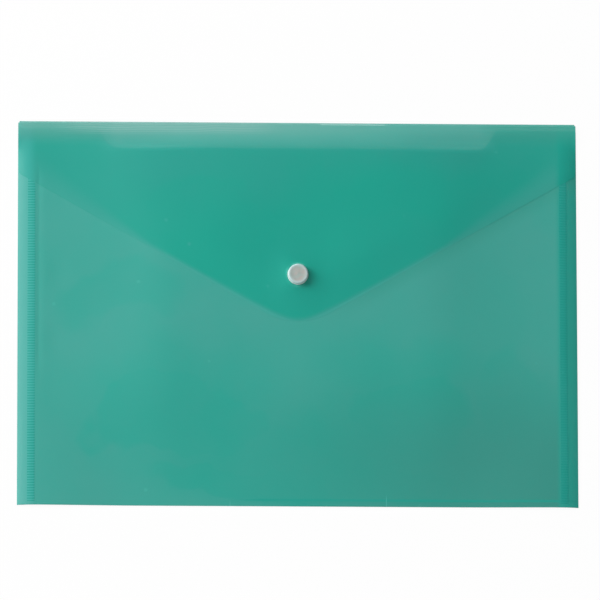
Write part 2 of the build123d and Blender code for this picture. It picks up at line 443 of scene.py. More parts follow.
def ribbed_weld(name, node, side):
    """A ladder of weld ribs on the left (-1) or right (+1) side."""
    inner, outer = sorted((side * WELD_X, side * WELD_END))
    piece = plain_sheet(name, (inner, RIB_START), (outer, RIB_START + RIB_PITCH), 0)
    slice_at("Y", [RIB_START + share * RIB_PITCH for share in RIB_CUTS])
    ends = (RIB_END, RIB_END + RIB_EASE)
    slice_at("X", [inner + end for end in ends] + [outer - end for end in ends])
    pick(piece)
    apply_modifier(piece, "ARRAY", count=RIB_COUNT, use_relative_offset=False, use_constant_offset=True,
                   constant_offset_displace=(0, RIB_PITCH, 0), use_merge_vertices=True, merge_threshold=NEAR)
    set_mode("EDIT")
    settle(pocket, lambda p: WELD_GAP, lambda p: 1.0)
    choose(lambda p: inner + RIB_END + NEAR < p.x < outer - RIB_END - NEAR
           and abs((p.y - RIB_START) % RIB_PITCH - RIB_PITCH / 2) < RIB_HALF)
    bpy.ops.transform.translate(value=(0, 0, RIB_HEIGHT))
    give_thickness(piece, WELD_FILM)
    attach(piece, "pocket")
    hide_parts(node)
    return piece


left_weld = ribbed_weld("left_weld", "left_seam", -1)
right_weld = ribbed_weld("right_weld", "right_seam", 1)
print("ribs on each side:", RIB_COUNT)

# %% [markdown]
# ## Flap
# The flap is cut as a rectangle with its two lower corners sliced off, and the point between the
# cuts is rounded by bevelling that one corner. The bevel's offset is measured along the cuts, so the
# rounded tip is printed beside the tip of the solid it stands for. An inset of three millimetres
# follows the outline: there the die has pressed the film thin, and its outer points go into a vertex
# group, so that the thickness can fade out towards them.

# %% Outline of the flap
FLAP_HALF = flap_high[0] + 0.4 * MM
FLAP_CORNER_Y = 85.1 * MM
FLAP_TIP_Y = -11.72 * MM
TIP_ROUND = 20 * MM
SIDE_ROUND = 2 * MM
DIE_EDGE = 3 * MM
FLAP_TOP = back_high[1] - 0.4 * MM

flap = plain_sheet("flap_sheet", (-FLAP_HALF, FLAP_TIP_Y), (FLAP_HALF, FLAP_TOP), FLAP_Z)
rise = (FLAP_CORNER_Y - FLAP_TIP_Y) / FLAP_HALF
for side in (-1, 1):
    choose_all()
    bpy.ops.mesh.bisect(plane_co=(0, FLAP_TIP_Y, 0), plane_no=(side * rise, -1, 0), clear_outer=True)
round_corners(TIP_ROUND, 18, lambda p: p.y < FLAP_TIP_Y + NEAR)
round_corners(SIDE_ROUND, 4, lambda p: abs(p.y - FLAP_CORNER_Y) < NEAR)
bpy.ops.mesh.select_mode(type="FACE")
choose_all()
bpy.ops.mesh.inset(thickness=DIE_EDGE)
choose_all()
bpy.ops.mesh.region_to_loop()
bpy.ops.object.vertex_group_assign_new()
die_cut = flap.vertex_groups.active.name
choose(lambda p: p.y > FLAP_TOP - NEAR)
bpy.ops.object.vertex_group_remove_from()
flap_tip = min(v.co.y for v in edit_points())
print("flap tip at", round(flap_tip / MM, 2), "mm, in the CAD", round(flap_low[1] / MM, 2))

# %% [markdown]
# The fold at the top is a soft roll, not a sharp line: the film comes up from the back and only
# turns level some 20 mm further on. The flap is sliced finely there, and round the press stud. Two
# lifts with a sharp falloff bend it, a long gentle droop and the roll itself, and the sides are brought
# down towards the welds.

# %% Bend the flap
JOIN_Y = 115.5 * MM
CREASE_RADIUS = 0.4 * MM
CREASE_LEAN = math.radians(28.6)
CREASE_Z = BACK_Z + CREASE_RADIUS * (1 + math.cos(CREASE_LEAN))
DROOP = 1.2 * MM
DROOP_REACH = 48 * MM
ROLL_REACH = 20 * MM
SIDE_SHARE = 0.45
SIDE_REACH = 120 * MM
HILL_CUTS = [cut * MM for cut in (-18, -14, -11, -8.5, -6, 6, 8.5, 11, 14, 18)]
FLAT_CUTS = spread(-4 * MM, 92 * MM, 4 * MM)
TURN_CUTS = spread(94 * MM, 104 * MM, 2 * MM)
ROLL_CUTS = spread(105 * MM, FLAP_TOP, 0.8 * MM)[:-1] + [JOIN_Y]
EDGE_CLEAR = 0.4 * MM

slice_at("X", [x for x in CUTS_X if abs(x) < FLAP_HALF - EDGE_CLEAR] + HILL_CUTS)
slice_at("Y", FLAT_CUTS + [STUD_Y + cut for cut in HILL_CUTS] + TURN_CUTS + ROLL_CUTS)
choose(lambda p: p.y > FLAP_TOP - NEAR)
lift(-DROOP, DROOP_REACH, "SHARP")
choose(lambda p: p.y > FLAP_TOP - NEAR)
lift(CREASE_Z + DROOP - FLAP_Z, ROLL_REACH, "SHARP")
choose(lambda p: abs(p.x) > FLAP_HALF - NEAR)
flatten(SIDE_SHARE, CREASE_Z, SIDE_REACH)
print("points in the flap:", len(edit_points()))

# %% [markdown]
# The flap has its own shallow dents. It sags a little round the press stud, whose flanges hold it up
# as on a small hill, and the film stays level on that seat.

# %% Dents in the flap
FLAP_DENTS = (
    (-70, 62, 0.25, 40), (-112, 80, -0.2, 35), (60, 58, 0.25, 40), (104, 84, -0.2, 35), (-30, 78, -0.2, 40),
    (34, 88, 0.2, 40), (18, 49, 0.15, 14),
)
STUD_SAG = 0.9 * MM
SAG_REACH = 60 * MM
SEAT_RADIUS = flange_high[0] + 1 * MM
HILL_REACH = 15 * MM


def from_stud(place):
    """Distance of a place from the axis of the press stud."""
    return math.hypot(place.x, place.y - STUD_Y)


for row in FLAP_DENTS:
    dent(*(value * MM for value in row))
dent(0, STUD_Y, STUD_SAG, SAG_REACH)
choose(lambda p: from_stud(p) < SEAT_RADIUS)
flatten(0, FLAP_Z, HILL_REACH, falloff="SHARP")
print("dents in the flap:", len(FLAP_DENTS))

# %% [markdown]
# Now the flap's edges are settled on the pocket: the slanted edges lie on the front, and the sides lie
# on the ribs of the welds. The roll and the seat of the stud stay as they are.

# %% Edges of the flap
EDGE_REACH = 24 * MM
SIDE_INNER = 40 * MM
ROLL_CLEAR = 12 * MM
LYING = FILM / 2 + 0.04 * MM
EDGE_LYING = 0.03 * MM
TIP_WIDTH = (flap_tip - FLAP_TIP_Y) / rise
slant = math.cos(math.atan(rise))


def from_slanted_edge(place):
    """Distance of a place on the flap from its slanted edges and round tip, as from a hyperbola."""
    return (place.y - FLAP_TIP_Y - rise * math.hypot(place.x, TIP_WIDTH)) * slant


def lying_gap(place):
    """Gap between the middle of the flap and the pocket, least where the edge is pressed thin."""
    share = min(max(from_slanted_edge(place) / DIE_EDGE, 0), 1)
    return EDGE_LYING + share * (LYING - EDGE_LYING)


def clear_of_roll(place):
    """1 on the flap, falling to 0 where the roll begins."""
    return ease((FLAP_TOP - place.y) / ROLL_CLEAR)


def clear_of_stud(place):
    """0 on the stud's seat, rising to 1 at the foot of the hill."""
    return ease((from_stud(place) - SEAT_RADIUS) / HILL_REACH)


settle(pocket, lying_gap,
       lambda p: ease(1 - from_slanted_edge(p) / EDGE_REACH) * clear_of_roll(p) * clear_of_stud(p))
settle(pocket, lambda p: lying_gap(p) + RIB_HEIGHT,
       lambda p: ease((abs(p.x) - SIDE_INNER) / (WELD_X - SIDE_INNER)) * clear_of_roll(p))
print("the flap lies", round(LYING / MM, 2), "mm over the pocket, its cut edge", round(EDGE_LYING / MM, 2))

# %% [markdown]
# The crease itself is spun from the top edge and tucked under, so it meets the back. The film crosses
# two hinges there, and a blended piece may cross only one, so the strip next to the crease becomes a
# piece of its own.

# %% Crease, and the strip beside it as its own piece
CORNER_CUT = 1 * MM

crease_y = FLAP_TOP - CREASE_RADIUS * math.sin(CREASE_LEAN)
crease_z = BACK_Z + CREASE_RADIUS
choose(lambda p: p.y > FLAP_TOP - NEAR, "EDGE")
bpy.ops.mesh.spin(steps=6, angle=math.pi - CREASE_LEAN, center=(0, crease_y, crease_z), axis=(1, 0, 0))
choose(lambda p: abs(p.x) > FLAP_HALF - NEAR and p.y > FLAP_TOP - CORNER_CUT / 2)
bpy.ops.transform.resize(value=(1 - CORNER_CUT / FLAP_HALF, 1, 1), center_override=(0, 0, 0))
lip_low = min(v.co.z for v in edit_points())
choose(lambda p: p.z < lip_low + NEAR, "EDGE")
pull((0, BACK_TOP - crease_y, 0))
print("crease lip at", round(lip_low / MM, 3), "mm, back film at", round(BACK_Z / MM, 3))
choose_all()
bpy.ops.mesh.normals_make_consistent(inside=False)
choose(lambda p: p.y > JOIN_Y, "FACE")
bpy.ops.mesh.separate(type="SELECTED")
clear_choice()
crease = [o for o in bpy.data.objects if o.name.startswith("flap_sheet.")][0]
crease.name = crease.data.name = "top_crease_film"
give_thickness(flap, FILM, die_cut)
give_thickness(crease, FILM)
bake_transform(crease)
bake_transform(flap)
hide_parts("flap_shoulder")
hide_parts("flap_panel")

# %% [markdown]
# ## Press stud
# All four mouldings are round about one upright axis. Each is drawn as a ring of points that is
# extruded and scaled step by step along its section, as a potter raises a wall.

# %% Turn a moulding from its section
RING_POINTS = 72
ROUNDING = 0.1 * MM
SHARP_ANGLE = math.radians(40)


def turned(name, node, body, section, bored=False):
    """Extrude a ring along a section, close it, and round its edges."""
    clear_choice()
    radius, height = section[0]
    bpy.ops.mesh.primitive_circle_add(vertices=RING_POINTS, radius=radius * MM)
    piece = bpy.context.object
    piece.name = piece.data.name = name
    set_mode("EDIT")
    choose_all()
    bpy.ops.transform.translate(value=(0, STUD_Y, height * MM))
    if not bored:
        bpy.ops.mesh.edge_face_add()
        bpy.ops.mesh.select_mode(type="EDGE")
    for (r0, z0), (r1, z1) in zip(section, section[1:]):
        bpy.ops.mesh.extrude_edges_move(TRANSFORM_OT_translate={"value": (0, 0, (z1 - z0) * MM)})
        bpy.ops.transform.resize(value=(r1 / r0, r1 / r0, 1), center_override=(0, STUD_Y, z1 * MM))
    if not bored:
        bpy.ops.mesh.edge_face_add()
    choose_all()
    bpy.ops.mesh.remove_doubles(threshold=0.005 * MM)
    bpy.ops.mesh.normals_make_consistent(inside=False)
    set_mode("OBJECT")
    apply_modifier(piece, "BEVEL", width=ROUNDING, segments=2, limit_method="ANGLE", angle_limit=SHARP_ANGLE)
    bpy.ops.object.shade_smooth_by_angle(angle=SMOOTH_ANGLE)
    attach(piece, body)
    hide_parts(node)
    print(name, "has", len(piece.data.polygons), "faces")
    return piece


# %% [markdown]
# The sections are pairs of radius and height in millimetres. The cap has a soft rounded rim, a groove
# under it and a face that dips by a hair, with the small mark of the moulding gate in its middle. The
# flanges of the other three reach out under the film, where they show through it as a paler ring.

# %% The four mouldings
FLANGE = flange_high[0] / MM
FLANGE_CUT = FLANGE - 0.2


def quarter(centre, radius, steps, first, last):
    """Points of an arc in a section, between two angles in degrees."""
    turns = [math.radians(first + (last - first) * i / steps) for i in range(steps + 1)]
    return [(centre[0] + radius * math.cos(a), centre[1] + radius * math.sin(a)) for a in turns]


CAP_SECTION = (
    (0.4, 9.3), (3.55, 9.3), (3.55, 7.1), (6.0, 7.1), (6.2, 7.3), (6.2, 7.85), (6.05, 8.0), (5.9, 8.02),
    (5.9, 8.23), (6.05, 8.26), *quarter((5.15, 9.6), 0.9, 6, 0, 90), (4.7, 10.49), (4.4, 10.42),
    (0.9, 10.4), (0.7, 10.43), (0.4, 10.44),
)
SOCKET_SECTION = (
    (2.78, 6.3), (FLANGE_CUT, 6.3), (FLANGE, 6.5), (FLANGE, 6.9), (3.5, 6.9), (3.5, 9.0), (2.95, 9.0),
    (2.95, 7.1), (2.78, 6.9), (2.78, 6.3),
)
STUD_SECTION = (
    (0.4, 8.15), (1.05, 8.15), (1.05, 5.5), (FLANGE, 5.5), (FLANGE, 5.9), (FLANGE_CUT, 6.1), (2.0, 6.1),
    (2.0, 6.6), (2.3, 7.0), (2.46, 7.4), (2.5, 7.8), (2.46, 8.2), (2.3, 8.6), (2.0, 9.0), (0.4, 9.0),
)
RIVET_SECTION = (
    (0.4, 4.7), (FLANGE_CUT, 4.7), (FLANGE, 4.9), (FLANGE, 5.3), (1.0, 5.3), (1.0, 8.1), (0.4, 8.1),
)
cap = turned("cap_moulding", "button_cap", "flap", CAP_SECTION)
socket = turned("socket_moulding", "button_socket", "flap", SOCKET_SECTION, bored=True)
stud = turned("stud_moulding", "pocket_stud", "pocket", STUD_SECTION)
rivet = turned("rivet_moulding", "stud_rivet", "pocket", RIVET_SECTION)

# %% [markdown]
# ## Finishes
# The film scatters light as well as letting it through, so each of its faces is a half see-through
# Principled surface: where two or three films lie over each other the colour deepens. Finishes are
# made of nodes. These helpers add a node, feed its inputs and hand on what the next node needs. A
# socket knows the tree that it is in, as its id_data.

# %% Helpers for nodes
def add_node(tree, kind, **values):
    """A node with its properties set."""
    node = tree.nodes.new(kind)
    for key, value in values.items():
        setattr(node, key, value)
    return node


def is_socket(value):
    """Whether a value comes out of another node."""
    return isinstance(value, bpy.types.NodeSocket)


def feed(node, values):
    """Give inputs of a node, by name or number, a socket to follow or a value of their own."""
    for key, value in values.items():
        if is_socket(value):
            node.id_data.links.new(value, node.inputs[key])
        else:
            node.inputs[key].default_value = value
    return node


def stepped(value, low, high):
    """A socket that eases from 0 where the value is low to 1 where it is high."""
    node = add_node(value.id_data, "ShaderNodeMapRange", interpolation_type="SMOOTHSTEP")
    return feed(node, {"Value": value, "From Min": low, "From Max": high}).outputs["Result"]


def node_group(name, places, numbers, results):
    """A node group with vector and number inputs and number outputs, and its inputs as sockets."""
    group = bpy.data.node_groups.new(name, "ShaderNodeTree")
    rows = (("INPUT", "Vector", places), ("INPUT", "Float", numbers), ("OUTPUT", "Float", results))
    for way, kind, labels in rows:
        for label in labels:
            group.interface.new_socket(label, in_out=way, socket_type="NodeSocket" + kind)
    return group, add_node(group, "NodeGroupInput").outputs


# %% [markdown]
# The first node group draws what handling leaves on plastic: a slow cloudiness, a fine grain and
# sparse specks. Each finish takes them at its own scales.

# %% Node group for handling marks
SCALES = ("Cloud Scale", "Grain Scale", "Speck Scale")
CLOUD_STEP = (0.35, 0.65)
SPECK_STEP = (0.06, 0.02)

marks, inside = node_group("handling_marks", ("Place",), SCALES, ("Cloud", "Grain", "Specks"))
cloud = add_node(marks, "ShaderNodeTexNoise")
grain = add_node(marks, "ShaderNodeTexNoise")
speck = add_node(marks, "ShaderNodeTexVoronoi")
for texture, label in zip((cloud, grain, speck), SCALES):
    feed(texture, {"Vector": inside["Place"], "Scale": inside[label]})
cloud.inputs["Detail"].default_value = 3
grain.inputs["Detail"].default_value = 2
feed(add_node(marks, "NodeGroupOutput"), {
    "Cloud": stepped(cloud.outputs["Fac"], *CLOUD_STEP),
    "Grain": grain.outputs["Fac"],
    "Specks": stepped(speck.outputs["Distance"], *SPECK_STEP),
})
print("nodes for handling marks:", len(marks.nodes))

# %% [markdown]
# Where two films touch, the air between them is pressed out and the colour is deeper. Elsewhere they
# look paler and a little milky, and that paler tone also stands in for a painted sheen off the uneven film.
# The second group draws one such patch of contact: an oval at a centre, whose edge wanders because noise
# shifts the place before it is measured. Blur says how soft it is.

# %% Node group for a patch of contact
WANDER_SCALE = 20
WANDER_REACH = 60 * MM


def math_node(operation, *values):
    """A Math node fed with sockets or numbers, as its output socket."""
    tree = next(value.id_data for value in values if is_socket(value))
    node = add_node(tree, "ShaderNodeMath", operation=operation)
    return feed(node, dict(enumerate(values))).outputs[0]


def vector_node(operation, first, *others):
    """A Vector Math node fed with sockets or vectors, as its output socket."""
    node = add_node(first.id_data, "ShaderNodeVectorMath", operation=operation)
    result = "Value" if operation == "LENGTH" else "Vector"
    return feed(node, dict(enumerate((first, *others)))).outputs[result]


contact, inside = node_group("contact_patch", ("Place", "Centre", "Size"), ("Blur",), ("Patch",))
wander = feed(add_node(contact, "ShaderNodeTexNoise"), {
    "Vector": inside["Place"], "Scale": WANDER_SCALE, "Detail": 3})
centred = vector_node("SUBTRACT", wander.outputs["Color"], (0.5, 0.5, 0.5))
shifted = vector_node("MULTIPLY_ADD", centred, (WANDER_REACH, WANDER_REACH, 0), inside["Place"])
offset = vector_node("SUBTRACT", shifted, inside["Centre"])
flat = vector_node("MULTIPLY", offset, (1, 1, 0))
away = vector_node("LENGTH", vector_node("DIVIDE", flat, inside["Size"]))
outer = math_node("ADD", 1, inside["Blur"])
inner = math_node("SUBTRACT", 1, inside["Blur"])
feed(add_node(contact, "NodeGroupOutput"), {"Patch": stepped(away, outer, inner)})
print("nodes for a patch of contact:", len(contact.nodes))

# %% [markdown]
# A film has several patches of contact, each with its own strength. Where they meet the strongest counts.

# %% Helpers for patches
def object_place(tree):
    """The shaded place in the object's own coordinates, as a socket."""
    return add_node(tree, "ShaderNodeTexCoord").outputs["Object"]


def times(first, *others):
    """The product of several masks and numbers, as a socket."""
    for other in others:
        first = math_node("MULTIPLY", first, other)
    return first


def contact_mask(tree, place, patches):
    """The strongest of several patches of contact, as one socket."""
    mask = None
    for (x, y), (width, height), blur, strength in patches:
        group = feed(add_node(tree, "ShaderNodeGroup", node_tree=contact), {
            "Place": place, "Centre": (x * MM, y * MM, 0),
            "Size": (width * MM, height * MM, 1), "Blur": blur})
        patch = times(group.outputs["Patch"], strength)
        mask = patch if mask is None else math_node("MAXIMUM", mask, patch)
    return mask


# %% [markdown]
# One function makes every finish from the groups. Cloudiness and patches of contact together choose
# between a pale and a deep tone, specks are dotted over that, the same cloudiness makes the gloss
# uneven, and the grain is a very shallow bump. Alpha is one number, set on the socket itself.

# %% Finish made from the groups
CLOUD_SHARE = 0.3
PLASTIC_IOR = 1.49
GRAIN_STRENGTH = 0.25
GRAIN_DEPTH = 0.01 * MM


def mixed_tone(mask, first, second):
    """The first tone where the mask is 0 and the second where it is 1, as a socket."""
    node = add_node(mask.id_data, "ShaderNodeMix", data_type="RGBA")
    return feed(node, {"Factor": mask, "A": first, "B": second}).outputs["Result"]


def finish(name, pale, deep, speck_tone, roughness, scales, alpha, patches=()):
    """A plastic finish: cloudy tone with patches, sparse specks, uneven gloss and a fine grain."""
    material = bpy.data.materials.new(name)
    material.use_nodes = True
    tree = material.node_tree
    place = object_place(tree)
    group = add_node(tree, "ShaderNodeGroup", node_tree=marks)
    drawn = feed(group, {"Place": place, **dict(zip(SCALES, scales))}).outputs
    depth = drawn["Cloud"]
    if patches:
        eased = add_node(tree, "ShaderNodeMix", data_type="FLOAT")
        feed(eased, {"Factor": CLOUD_SHARE, "A": contact_mask(tree, place, patches), "B": depth})
        depth = eased.outputs["Result"]
    tone = mixed_tone(depth, (*pale, 1), (*deep, 1))
    gloss = add_node(tree, "ShaderNodeMapRange")
    feed(gloss, {"Value": drawn["Cloud"], "To Min": roughness[0], "To Max": roughness[1]})
    bump = add_node(tree, "ShaderNodeBump")
    feed(bump, {"Strength": GRAIN_STRENGTH, "Distance": GRAIN_DEPTH, "Height": drawn["Grain"]})
    feed(tree.nodes["Principled BSDF"], {
        "Base Color": mixed_tone(drawn["Specks"], tone, (*speck_tone, 1)),
        "Roughness": gloss.outputs["Result"],
        "Normal": bump.outputs["Normal"],
        "IOR": PLASTIC_IOR,
        "Alpha": alpha,
    })
    return material


# %% [markdown]
# Some places need a tone of their own. A mask is worked out from the place on the film with a few Math
# nodes, and the tone is mixed in where the mask is 1. These helpers keep each mask to a line or two.

# %% Helpers for tinted places
def coordinate(material, axis):
    """X, Y or Z of the shaded place, as a socket."""
    parts = add_node(material.node_tree, "ShaderNodeSeparateXYZ")
    return feed(parts, {0: object_place(material.node_tree)}).outputs[axis]


def away_from(value, place):
    """How far a value is from a place, to either side, as a socket."""
    return math_node("ABSOLUTE", math_node("SUBTRACT", value, place))


def tint(material, mask, tone):
    """Mix a tone into a finish where the mask is 1."""
    surface = material.node_tree.nodes["Principled BSDF"]
    before = surface.inputs["Base Color"].links[0].from_socket
    feed(surface, {"Base Color": mixed_tone(mask, before, (*tone, 1))})


# %% [markdown]
# Between the ears there is no front panel behind the flap, only the back, so the film looks paler
# there. A real film is hazy and blurs what lies further behind it, and a see-through surface can't do
# that, so the flap carries part of that change itself, with soft ends. Along the fold a paler tone is a
# painted sheen where the roll of the fold catches the light, stronger on the left, where the light comes
# from.

# %% Paler film at the top, and painted sheen along the fold
BETWEEN_EARS = (EAR_INNER + 2 * MM, SCOOP_X - 4 * MM)
ABOVE_MOUTH = (MOUTH_Y - 3 * MM, MOUTH_Y + 4 * MM)
FOLD_SHEEN_BAND = (101 * MM, back_high[1])
SHEEN_LEFTWARD = (HALF, -0.4 * HALF)
SHEEN_OVER_EARS = 0.75
SHEEN_ON_RIGHT = 0.4


def mouth_tone_and_fold_sheen(material, mouth_tone, fold_sheen_tone):
    """Mix one tone in above the mouth and a painted sheen along the top fold."""
    x = coordinate(material, "X")
    y = coordinate(material, "Y")
    between = stepped(math_node("ABSOLUTE", x), *BETWEEN_EARS)
    tint(material, times(between, stepped(y, *ABOVE_MOUTH)), mouth_tone)
    inwards = math_node("MAXIMUM", between, SHEEN_OVER_EARS)
    leftward = math_node("MAXIMUM", stepped(x, *SHEEN_LEFTWARD), SHEEN_ON_RIGHT)
    tint(material, times(stepped(y, *FOLD_SHEEN_BAND), inwards, leftward), fold_sheen_tone)


# %% [markdown]
# Outside the welds both films are pressed together. The paler tone on the left margin is a painted
# highlight, where the margin faces the light, and the deeper tone on the right one is painted shade, where
# it faces away.

# %% Painted highlight and shade on the margins outside the welds
LEFT_MARGIN_HIGHLIGHT = (-WELD_X + 1 * MM, -WELD_END)
RIGHT_MARGIN_SHADE = (WELD_X - 3 * MM, WELD_X + 1 * MM)


def margin_highlight_and_shade(material, left_highlight_tone, right_shade_tone):
    """Mix a painted highlight into the left margin and painted shade into the right one."""
    x = coordinate(material, "X")
    tint(material, stepped(x, *LEFT_MARGIN_HIGHLIGHT), left_highlight_tone)
    tint(material, stepped(x, *RIGHT_MARGIN_SHADE), right_shade_tone)


# %% [markdown]
# Towards the lower right corner a darker tone is painted shade, as the light falls off there. The mask rises
# slowly both ways, so no edge shows.

# %% Painted shade at the lower right
CORNER_SHADE_X = (-60 * MM, 150 * MM)
CORNER_SHADE_Y = (-15 * MM, -95 * MM)


def painted_corner_shade(material, tone):
    """Mix a darker tone in towards the lower right corner, as painted shade."""
    rightward = stepped(coordinate(material, "X"), *CORNER_SHADE_X)
    tint(material, times(rightward, stepped(coordinate(material, "Y"), *CORNER_SHADE_Y)), tone)


# %% [markdown]
# Folding leaves fine wavy lines beside the crease, about a millimetre apart. A Wave texture draws
# them, pushed about by its own distortion, and a mask keeps them to the part where they are seen.

# %% Strain lines beside the fold
LINE_PITCH = 1.15 * MM
LINES_Y = (108 * MM, 113 * MM)
LINES_RIGHT = (-5 * MM, -35 * MM)
LINES_LEFT = (-150 * MM, -120 * MM)
LINES_SHARE = 0.6


def strain_lines(material, tone):
    """Draw faint wavy lines along the left part of the top fold."""
    tree = material.node_tree
    x = coordinate(material, "X")
    wave = feed(add_node(tree, "ShaderNodeTexWave", bands_direction="Y"), {
        "Vector": object_place(tree), "Scale": 2 * math.pi / (20 * LINE_PITCH),
        "Distortion": 6, "Detail": 1, "Detail Scale": 0.12})
    beside_fold = stepped(coordinate(material, "Y"), *LINES_Y)
    ends = (stepped(x, *LINES_RIGHT), stepped(x, *LINES_LEFT))
    tint(material, times(wave.outputs["Fac"], beside_fold, *ends, LINES_SHARE), tone)


# %% [markdown]
# Towards its slanted edges the flap's tone comes close to that of the pocket under it, so the edge
# is soft to the eye, most of all near the upper corners. Along the lower part of the edges a fine paler
# line is a painted highlight where the cut edge catches the light. Beside the right edge the pocket's film
# gets a deeper tone, a painted shadow of the flap's edge. The masks measure from a
# hyperbola, which follows both edges and the round tip.

# %% Slanted edges of the flap, with a painted highlight and shadow
SOFT_EDGE = 3.5 * MM
SOFT_FROM = 90 * MM
SOFT_GROWTH = 0.3
SOFT_FADE = 30 * MM
RIM_HIGHLIGHT_LINE = 1.3 * MM
RIM_HIGHLIGHT_SHARE = 0.35
SHADOW_BESIDE_EDGE = 12 * MM
SHADOW_BESIDE_RIGHT = (10 * MM, 50 * MM)
SHADOW_BESIDE_SHARE = 0.6


def reach_socket(material):
    """Distance from the middle line, rounded off at the tip, as a socket."""
    squared = math_node("POWER", coordinate(material, "X"), 2)
    return math_node("SQRT", math_node("ADD", squared, TIP_WIDTH ** 2))


def inwards_socket(material, reach):
    """How far inside the flap's slanted edges a place is, as a socket."""
    edge_y = math_node("ADD", times(reach, rise), FLAP_TIP_Y)
    return math_node("SUBTRACT", coordinate(material, "Y"), edge_y)


def softer_edge(material, tone, rim_highlight_tone):
    """Mix the pocket's tone into the flap along its slanted edges, and paint a fine highlight line along
    them.
    """
    reach = reach_socket(material)
    inwards = inwards_socket(material, reach)
    further = math_node("MAXIMUM", math_node("SUBTRACT", reach, SOFT_FROM), 0)
    softness = math_node("ADD", times(further, SOFT_GROWTH), SOFT_EDGE)
    tint(material, stepped(math_node("DIVIDE", inwards, softness), 1, 0), tone)
    ending = stepped(reach, SOFT_FROM + SOFT_FADE, SOFT_FROM - SOFT_FADE)
    tint(material, times(stepped(inwards, RIM_HIGHLIGHT_LINE, 0), ending, RIM_HIGHLIGHT_SHARE), rim_highlight_tone)


def shadow_beside_flap(material, tone):
    """Mix a painted shadow into the pocket just outside the flap's right edge."""
    inwards = inwards_socket(material, reach_socket(material))
    sides = (stepped(inwards, -SHADOW_BESIDE_EDGE, 0), stepped(inwards, SOFT_EDGE, 0))
    on_right = stepped(coordinate(material, "X"), *SHADOW_BESIDE_RIGHT)
    tint(material, times(*sides, on_right, SHADOW_BESIDE_SHARE), tone)


# %% [markdown]
# The rim of the cap is brighter than the thick middle: partly light that gets in at its thin edge, and
# partly a painted highlight. Its skirt below the groove, thinner still, gets a brighter painted highlight.
# The flanges are so thin that the colour of the film beside them comes through. The masks are the distance
# from the stud's axis and the height.

# %% Cap rim and skirt with painted highlights
RIM_HIGHLIGHT_RADIUS = (3.6 * MM, 5.8 * MM)
SKIRT_HIGHLIGHT_Z = (8.2 * MM, 8.0 * MM)
FLANGE_RADIUS = (6.25 * MM, 6.6 * MM)


def rim_and_skirt_highlight(material, tone, skirt_highlight_tone, flange_tone):
    """Mix a painted highlight in towards the cap's rim and below its groove, and the film's tone on the
    flanges.
    """
    across = math_node("POWER", coordinate(material, "X"), 2)
    along = math_node("POWER", math_node("SUBTRACT", coordinate(material, "Y"), STUD_Y), 2)
    radius = math_node("SQRT", math_node("ADD", across, along))
    tint(material, stepped(radius, *RIM_HIGHLIGHT_RADIUS), tone)
    tint(material, stepped(coordinate(material, "Z"), *SKIRT_HIGHLIGHT_Z), skirt_highlight_tone)
    tint(material, stepped(radius, *FLANGE_RADIUS), flange_tone)


# %% [markdown]
# The tops of the weld's ribs get a paler tone than the film between them, a painted highlight that is
# strongest on the left, where the light comes from. Along the bottom the fold leaves a fine darker line a
# few millimetres up, and two short nicks.

# %% Painted highlights on the ribs, and marks along the fold
RIB_HIGHLIGHT_STEP = (0.34, 0.12)
RIB_HIGHLIGHT_ON_RIGHT = 0.25
FOLD_LINE_Y = FOLD_Y + 3.6 * MM
FOLD_LINE_FADE = (1.1 * MM, 0.2 * MM)
FOLD_LINE_START = (-45 * MM, -20 * MM)
NICKS = ((-40.5 * MM, -113 * MM), (52.8 * MM, -109.5 * MM))
NICK_FADE = (0.45 * MM, 0.1 * MM)
NICK_TAPER = 4 * MM


def rib_top_highlights(material, tone):
    """Paint a highlight on the top of every rib, strongest on the left."""
    start = math_node("SUBTRACT", coordinate(material, "Y"), RIB_START)
    step = math_node("FRACT", math_node("DIVIDE", start, RIB_PITCH))
    on_left = math_node("MAXIMUM", stepped(coordinate(material, "X"), 0, -HALF), RIB_HIGHLIGHT_ON_RIGHT)
    tint(material, times(stepped(away_from(step, 0.5), *RIB_HIGHLIGHT_STEP), on_left), tone)


def fold_marks(material, line_tone, nick_tone):
    """Draw the line beside the bottom fold and the two nicks that cross it."""
    x = coordinate(material, "X")
    y = coordinate(material, "Y")
    line = stepped(away_from(y, FOLD_LINE_Y), *FOLD_LINE_FADE)
    tint(material, times(line, stepped(x, *FOLD_LINE_START)), line_tone)
    for nick_x, nick_top in NICKS:
        nick = stepped(away_from(x, nick_x), *NICK_FADE)
        tint(material, times(nick, stepped(y, nick_top, nick_top - NICK_TAPER)), nick_tone)


# %% [markdown]
# The pocket's film rests on itself in the lower middle and at the left, and the flap rests on the
# pocket round its tip. On the pocket the deep patches along the bottom and at the lower right are also
# painted shade, darker where less light reaches. Each patch of contact is a centre and a size in
# millimetres, a blur and a
# strength. The flap is the clearer film: the mouth and the welds show through it.

# %% Finishes of the film
POCKET_CONTACT_AND_SHADE = (
    ((-72, -50), (58, 34), 0.6, 0.75), ((10, -92), (100, 36), 0.6, 0.85), ((62, -42), (38, 23), 0.6, 0.65),
    ((-106, 14), (36, 19), 0.22, 0.42), ((-78, -63), (55, 28), 0.12, 0.9), ((67, -62), (36, 27), 0.12, 0.9),
    ((131, -52), (24, 34), 0.2, 0.45), ((23, -104), (116, 14), 0.15, 0.95),
)
FLAP_CONTACT = (((-5, 30), (95, 48), 0.5, 1), ((60, 70), (80, 25), 0.6, 1), ((-42, 62), (48, 20), 0.15, 0.5))
pocket_finish = finish("teal_film", (0.062, 0.475, 0.402), (0.006, 0.468, 0.37), (0.06, 0.52, 0.44),
                       (0.36, 0.44), (14, 1800, 40), 0.68, POCKET_CONTACT_AND_SHADE)
flap_finish = finish("clear_teal_film", (0.026, 0.485, 0.395), (0.003, 0.51, 0.385), (0.035, 0.52, 0.42),
                     (0.36, 0.44), (14, 1800, 40), 0.55, FLAP_CONTACT)
